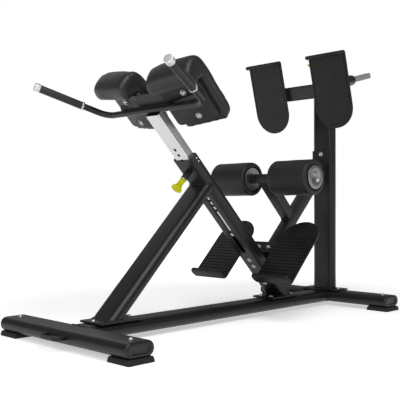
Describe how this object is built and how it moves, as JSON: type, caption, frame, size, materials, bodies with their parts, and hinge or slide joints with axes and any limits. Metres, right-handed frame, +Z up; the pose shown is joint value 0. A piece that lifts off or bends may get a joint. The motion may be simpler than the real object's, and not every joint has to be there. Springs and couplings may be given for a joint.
{
  "type": "hyperextension bench",
  "caption": "Floor-standing back hyperextension bench: welded tube frame, split hip pads on a sliding post, foam ankle rollers and ribbed footplates on an upright.",
  "frame": {"origin": "on the floor, under the middle of the machine's length and width (bottom centre of its bounding box)", "axes": "+X runs from the front cross tube with the grab handle to the upright, +Z is up, +Y completes the right-handed set and is the side named left"},
  "size_m": [1.999, 0.78, 1.174],
  "materials": {
    "black_powder_coat": "satin textured powder coat",
    "end_plug_plastic": "satin moulded plastic",
    "foot_rubber": "matte moulded rubber",
    "footplate_plastic": "ribbed, matte",
    "bright_chrome": "polished",
    "zinc_steel": "bright zinc plate",
    "black_vinyl": "fine-grained artificial leather, satin",
    "black_board": "matte painted board",
    "black_foam": "closed-cell foam, matte",
    "black_plastic": "satin",
    "grip_rubber": "matte",
    "nylon": "natural nylon",
    "lime_plastic": "semi-gloss"
  },
  "bodies": {
    "frame": {"front_cross_tube": "black_powder_coat", "rear_cross_tube": "black_powder_coat", "spine_tube": "black_powder_coat", "grab_handle": "black_powder_coat", "front_left_end_plug": "end_plug_plastic", "front_right_end_plug": "end_plug_plastic", "rear_left_end_plug": "end_plug_plastic", "rear_right_end_plug": "end_plug_plastic", "front_left_foot": "foot_rubber", "front_right_foot": "foot_rubber", "rear_left_foot": "foot_rubber", "rear_right_foot": "foot_rubber", "leg_base_plate": "black_powder_coat", "column_base_plate": "black_powder_coat", "front_leg": "black_powder_coat", "column_sleeve": "black_powder_coat", "column_liner": "nylon", "upright_socket": "black_powder_coat", "upright_post": "black_powder_coat", "brace": "black_powder_coat", "brace_bracket": "black_powder_coat", "roller_arm": "black_powder_coat", "roller_axle": "black_powder_coat", "lower_left_footplate": "footplate_plastic", "lower_right_footplate": "footplate_plastic", "lower_crossbar": "black_powder_coat", "slide_guide": "black_powder_coat", "front_guide_bushing": "nylon", "rear_guide_bushing": "nylon", "lower_pin_barrel": "black_plastic", "upper_pin_barrel": "black_plastic"},
    "pad_carriage": {"pad_post": "bright_chrome", "post_glide": "nylon", "stop_bolt": "zinc_steel", "head_bracket": "black_powder_coat", "left_pad_board": "black_board", "right_pad_board": "black_board", "left_hip_pad": "black_vinyl", "right_hip_pad": "black_vinyl", "handlebar": "black_powder_coat", "left_grip_ring": "bright_chrome", "right_grip_ring": "bright_chrome", "left_grip": "grip_rubber", "right_grip": "grip_rubber", "left_grip_cap": "bright_chrome", "right_grip_cap": "bright_chrome"},
    "foot_carriage": {"slide_rod": "bright_chrome", "upper_crossbar": "black_powder_coat", "upper_left_footplate": "footplate_plastic", "upper_right_footplate": "footplate_plastic"},
    "left_roller": {"left_roller_spool": "black_plastic", "left_roller_foam": "black_foam", "left_roller_cap": "bright_chrome"},
    "right_roller": {"right_roller_spool": "black_plastic", "right_roller_foam": "black_foam", "right_roller_cap": "bright_chrome"},
    "lower_pull_pin": {"lower_pin_knob": "lime_plastic"},
    "upper_pull_pin": {"upper_pin_knob": "lime_plastic"}
  },
  "joints": [
    {"name": "pad_post_slide", "type": "slide", "parent": "frame", "child": "pad_carriage", "axis": [-0.7071, 0, 0.7071], "range_m": [-0.09, 0.21]},
    {"name": "foot_carriage_slide", "type": "slide", "parent": "frame", "child": "foot_carriage", "axis": [0.9659, 0, 0.2588], "range_m": [-0.24, 0]},
    {"name": "left_roller_spin", "type": "hinge", "parent": "frame", "child": "left_roller", "pos_m": [0.11387, 0.166, 0.592], "axis": [0, 1, 0], "continuous": true},
    {"name": "right_roller_spin", "type": "hinge", "parent": "frame", "child": "right_roller", "pos_m": [0.11387, -0.166, 0.592], "axis": [0, 1, 0], "continuous": true},
    {"name": "lower_pin_pull", "type": "slide", "parent": "frame", "child": "lower_pull_pin", "axis": [-0.7071, 0, -0.7071], "range_m": [0, 0.008], "stiffness_N_per_m": 800, "springref_m": -0.01},
    {"name": "upper_pin_pull", "type": "slide", "parent": "frame", "child": "upper_pull_pin", "axis": [-0.2588, 0, 0.9659], "range_m": [0, 0.008], "stiffness_N_per_m": 800, "springref_m": -0.01}
  ]
}
